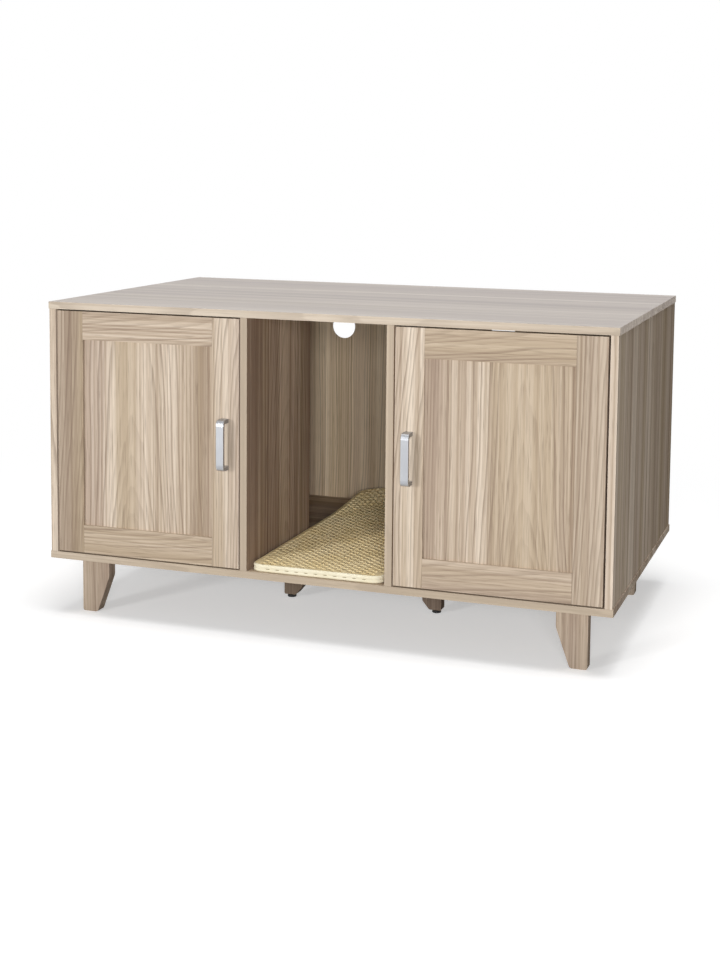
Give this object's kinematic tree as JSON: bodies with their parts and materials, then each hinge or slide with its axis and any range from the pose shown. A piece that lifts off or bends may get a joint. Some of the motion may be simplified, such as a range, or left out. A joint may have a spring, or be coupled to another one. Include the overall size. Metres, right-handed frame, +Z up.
{
  "type": "litter box cabinet",
  "caption": "Low board cabinet hiding a litter box: a hinged frame-and-panel door each side, an open middle bay with a litter mat, passages behind the dividers, tapered legs.",
  "frame": {"origin": "centre of the footprint, handles included, on the floor", "axes": "+Z up, -Y out of the front with the doors, +X to the right seen from the front"},
  "size_m": [1.22, 0.758, 0.677],
  "materials": {
    "wood_board": "satin wood-print laminate",
    "wood_top": "satin wood-print laminate",
    "handle_metal": "satin anodised",
    "hardware_steel": "zinc plated",
    "glide_plastic": "matte black",
    "catch_plastic": "matte off-white",
    "mat_foam": "soft closed-cell foam",
    "mat_edge": "soft bound edge"
  },
  "bodies": {
    "root": {"top_panel": "wood_top", "bottom_panel": "wood_board", "left_side_panel": "wood_board", "right_side_panel": "wood_board", "left_divider": "wood_board", "right_divider": "wood_board", "back_panel": "wood_board", "front_left_leg": "wood_board", "front_right_leg": "wood_board", "rear_left_leg": "wood_board", "rear_right_leg": "wood_board", "left_centre_support": "wood_board", "right_centre_support": "wood_board", "front_left_leg_bolt": "hardware_steel", "front_right_leg_bolt": "hardware_steel", "rear_left_leg_bolt": "hardware_steel", "rear_right_leg_bolt": "hardware_steel", "left_centre_support_bolt": "hardware_steel", "right_centre_support_bolt": "hardware_steel", "left_magnetic_catch": "catch_plastic", "right_magnetic_catch": "catch_plastic", "left_upper_hinge_arm": "hardware_steel", "left_lower_hinge_arm": "hardware_steel", "right_upper_hinge_arm": "hardware_steel", "right_lower_hinge_arm": "hardware_steel"},
    "left_door": {"left_door_hinge_stile": "wood_board", "left_door_latch_stile": "wood_board", "left_door_top_rail": "wood_board", "left_door_bottom_rail": "wood_board", "left_door_panel": "wood_board", "left_handle": "handle_metal", "left_upper_handle_screw": "hardware_steel", "left_lower_handle_screw": "hardware_steel", "left_strike_plate": "hardware_steel", "left_upper_hinge_cup": "hardware_steel", "left_lower_hinge_cup": "hardware_steel"},
    "right_door": {"right_door_hinge_stile": "wood_board", "right_door_latch_stile": "wood_board", "right_door_top_rail": "wood_board", "right_door_bottom_rail": "wood_board", "right_door_panel": "wood_board", "right_handle": "handle_metal", "right_upper_handle_screw": "hardware_steel", "right_lower_handle_screw": "hardware_steel", "right_strike_plate": "hardware_steel", "right_upper_hinge_cup": "hardware_steel", "right_lower_hinge_cup": "hardware_steel"},
    "left_hinge_links": {"left_upper_hinge_link": "hardware_steel", "left_lower_hinge_link": "hardware_steel"},
    "right_hinge_links": {"right_upper_hinge_link": "hardware_steel", "right_lower_hinge_link": "hardware_steel"},
    "left_glide": {"left_levelling_glide": "glide_plastic"},
    "right_glide": {"right_levelling_glide": "glide_plastic"},
    "mat": {"mat_lower_layer": "mat_foam", "mat_upper_layer": "mat_foam", "mat_binding": "mat_edge"}
  },
  "joints": [
    {"name": "left_door_hinge", "type": "hinge", "parent": "root", "child": "left_door", "pos_m": [-0.581, -0.348, 0.3995], "axis": [0, 0, -1], "range_deg": [0, 105]},
    {"name": "right_door_hinge", "type": "hinge", "parent": "root", "child": "right_door", "pos_m": [0.581, -0.348, 0.3995], "axis": [0, 0, 1], "range_deg": [0, 105]},
    {"name": "left_link_pivot", "type": "hinge", "parent": "root", "child": "left_hinge_links", "pos_m": [-0.579, -0.328, 0.3995], "axis": [0, 0, -1], "range_deg": [0, 47.5]},
    {"name": "right_link_pivot", "type": "hinge", "parent": "root", "child": "right_hinge_links", "pos_m": [0.579, -0.328, 0.3995], "axis": [0, 0, 1], "range_deg": [0, 47.5]},
    {"name": "left_glide_turn", "type": "hinge", "parent": "root", "child": "left_glide", "pos_m": [-0.1705, -0.051, 0.01], "axis": [0, 0, 1], "continuous": true},
    {"name": "right_glide_turn", "type": "hinge", "parent": "root", "child": "right_glide", "pos_m": [0.1705, -0.051, 0.01], "axis": [0, 0, 1], "continuous": true},
    {"name": "mat_slide", "type": "slide", "parent": "root", "child": "mat", "axis": [0, -1, 0], "range_m": [0, 0.45]}
  ],
  "couplings": [
    {"joint": "left_link_pivot", "follows": "left_door_hinge", "ratio": 0.45},
    {"joint": "right_link_pivot", "follows": "right_door_hinge", "ratio": 0.45}
  ]
}
